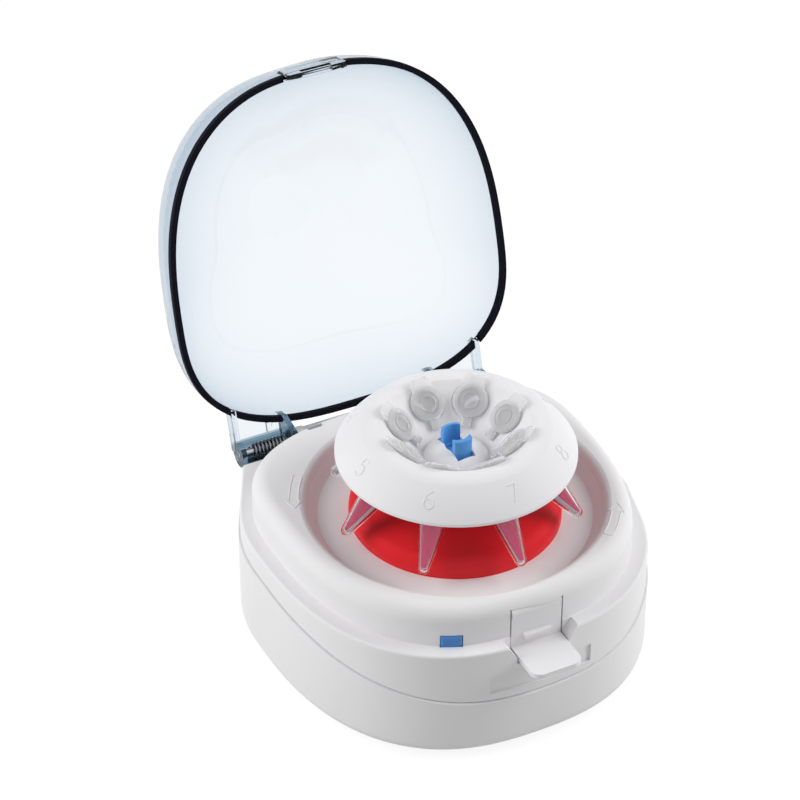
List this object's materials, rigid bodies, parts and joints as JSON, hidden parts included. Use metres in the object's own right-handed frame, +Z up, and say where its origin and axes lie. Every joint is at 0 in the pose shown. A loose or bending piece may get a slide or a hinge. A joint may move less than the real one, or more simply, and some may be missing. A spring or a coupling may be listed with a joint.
{
  "type": "mini centrifuge",
  "caption": "Bench mini centrifuge with hinged clear dome lid, lift-off angled tube rotor, snap-cap tubes, red motor cowl and front latch.",
  "frame": {"origin": "the middle of the bounding box with the lid open, at the plane of the feet; the rotor's axis is 39.4 mm in front of it", "axes": "+Z up along the rotor's axis, -Y towards the front latch, +X to the right seen from the front"},
  "size_m": [0.1466, 0.2407, 0.1884],
  "materials": {
    "white_abs": "fine satin moulding",
    "white_rotor": "smooth satin moulding",
    "red_cowl": "smooth semi-gloss moulding",
    "clear_lid": "clear, faint blue grey",
    "black_gasket": "matt",
    "blue_clip": "satin",
    "blue_lens": "clear blue",
    "clear_tube": "frosted clear",
    "pink_sample": null,
    "grey_rubber": "matt",
    "steel": "bright",
    "motor_steel": "satin",
    "white_nylon": "satin",
    "green_board": "coated board",
    "black_plastic": "satin"
  },
  "bodies": {
    "base": {"base_shell": "white_abs", "upper_housing": "white_abs", "motor_cowl": "red_cowl", "indicator_lens": "blue_lens", "indicator_led": "blue_lens", "rubber_feet": "grey_rubber", "base_screws": "steel", "motor_plate": "motor_steel", "vibration_dampers": "grey_rubber", "plate_screws": "steel", "motor_can": "motor_steel", "motor_end_cap": "black_plastic", "shaft_bearing": "motor_steel", "hinge_pins": "steel", "hinge_springs": "steel", "latch_pin": "steel", "latch_spring": "steel", "circuit_board": "green_board", "board_parts": "black_plastic", "power_jack": "black_plastic", "lid_switch": "black_plastic"},
    "lid": {"lid_shell": "clear_lid", "lid_gasket": "black_gasket"},
    "latch": {"latch_lever": "white_abs"},
    "spindle": {"motor_shaft": "steel", "drive_collar": "steel"},
    "rotor": {"rotor": "white_rotor", "rotor_bush": "white_nylon", "clip_base": "blue_clip"},
    "rear_jaw": {"clip_jaw_rear": "blue_clip"},
    "front_jaw": {"clip_jaw_front": "blue_clip"},
    "tube_1": {"tube_1": "clear_tube", "sample_1": "pink_sample"},
    "tube_2": {"tube_2": "clear_tube", "sample_2": "pink_sample"},
    "tube_3": {"tube_3": "clear_tube", "sample_3": "pink_sample"},
    "tube_4": {"tube_4": "clear_tube", "sample_4": "pink_sample"},
    "tube_5": {"tube_5": "clear_tube", "sample_5": "pink_sample"},
    "tube_6": {"tube_6": "clear_tube", "sample_6": "pink_sample"},
    "tube_7": {"tube_7": "clear_tube", "sample_7": "pink_sample"},
    "tube_8": {"tube_8": "clear_tube", "sample_8": "pink_sample"}
  },
  "joints": [
    {"name": "lid_hinge", "type": "hinge", "parent": "base", "child": "lid", "pos_m": [0, 0.03725, 0.05], "axis": [-1, 0, 0], "range_deg": [-106.7, 0], "stiffness_Nm_per_rad": 0.03, "springref_deg": 34.38},
    {"name": "latch_press", "type": "hinge", "parent": "base", "child": "latch", "pos_m": [0, -0.1, 0.059], "axis": [1, 0, 0], "range_deg": [0, 6], "stiffness_Nm_per_rad": 0.3, "springref_deg": -2.86},
    {"name": "rotor_spin", "type": "hinge", "parent": "base", "child": "spindle", "pos_m": [0, -0.0394, 0.06], "axis": [0, 0, 1], "continuous": true},
    {"name": "rotor_lift", "type": "slide", "parent": "spindle", "child": "rotor", "axis": [0, 0, 1], "range_m": [0, 0.03]},
    {"name": "rear_jaw_pinch", "type": "hinge", "parent": "rotor", "child": "rear_jaw", "pos_m": [-0.00028, -0.03411, 0.0862], "axis": [0.9986, 0.0523, 0], "range_deg": [0, 6], "stiffness_Nm_per_rad": 0.05, "springref_deg": -1.15},
    {"name": "front_jaw_pinch", "type": "hinge", "parent": "rotor", "child": "front_jaw", "pos_m": [0.00028, -0.04469, 0.0862], "axis": [-0.9986, -0.0523, 0], "range_deg": [0, 6]},
    {"name": "tube_1_pull", "type": "slide", "parent": "rotor", "child": "tube_1", "axis": [-0.6811, -0.0357, 0.7314], "range_m": [0, 0.0045]},
    {"name": "tube_2_pull", "type": "slide", "parent": "rotor", "child": "tube_2", "axis": [-0.4563, -0.5068, 0.7314], "range_m": [0, 0.0045]},
    {"name": "tube_3_pull", "type": "slide", "parent": "rotor", "child": "tube_3", "axis": [0.0357, -0.6811, 0.7314], "range_m": [0, 0.0045]},
    {"name": "tube_4_pull", "type": "slide", "parent": "rotor", "child": "tube_4", "axis": [0.5068, -0.4563, 0.7314], "range_m": [0, 0.0045]},
    {"name": "tube_5_pull", "type": "slide", "parent": "rotor", "child": "tube_5", "axis": [0.6811, 0.0357, 0.7314], "range_m": [0, 0.0045]},
    {"name": "tube_6_pull", "type": "slide", "parent": "rotor", "child": "tube_6", "axis": [0.4563, 0.5068, 0.7314], "range_m": [0, 0.0045]},
    {"name": "tube_7_pull", "type": "slide", "parent": "rotor", "child": "tube_7", "axis": [-0.0357, 0.6811, 0.7314], "range_m": [0, 0.0045]},
    {"name": "tube_8_pull", "type": "slide", "parent": "rotor", "child": "tube_8", "axis": [-0.5068, 0.4563, 0.7314], "range_m": [0, 0.0045]}
  ],
  "couplings": [
    {"joint": "front_jaw_pinch", "follows": "rear_jaw_pinch", "ratio": 1}
  ]
}
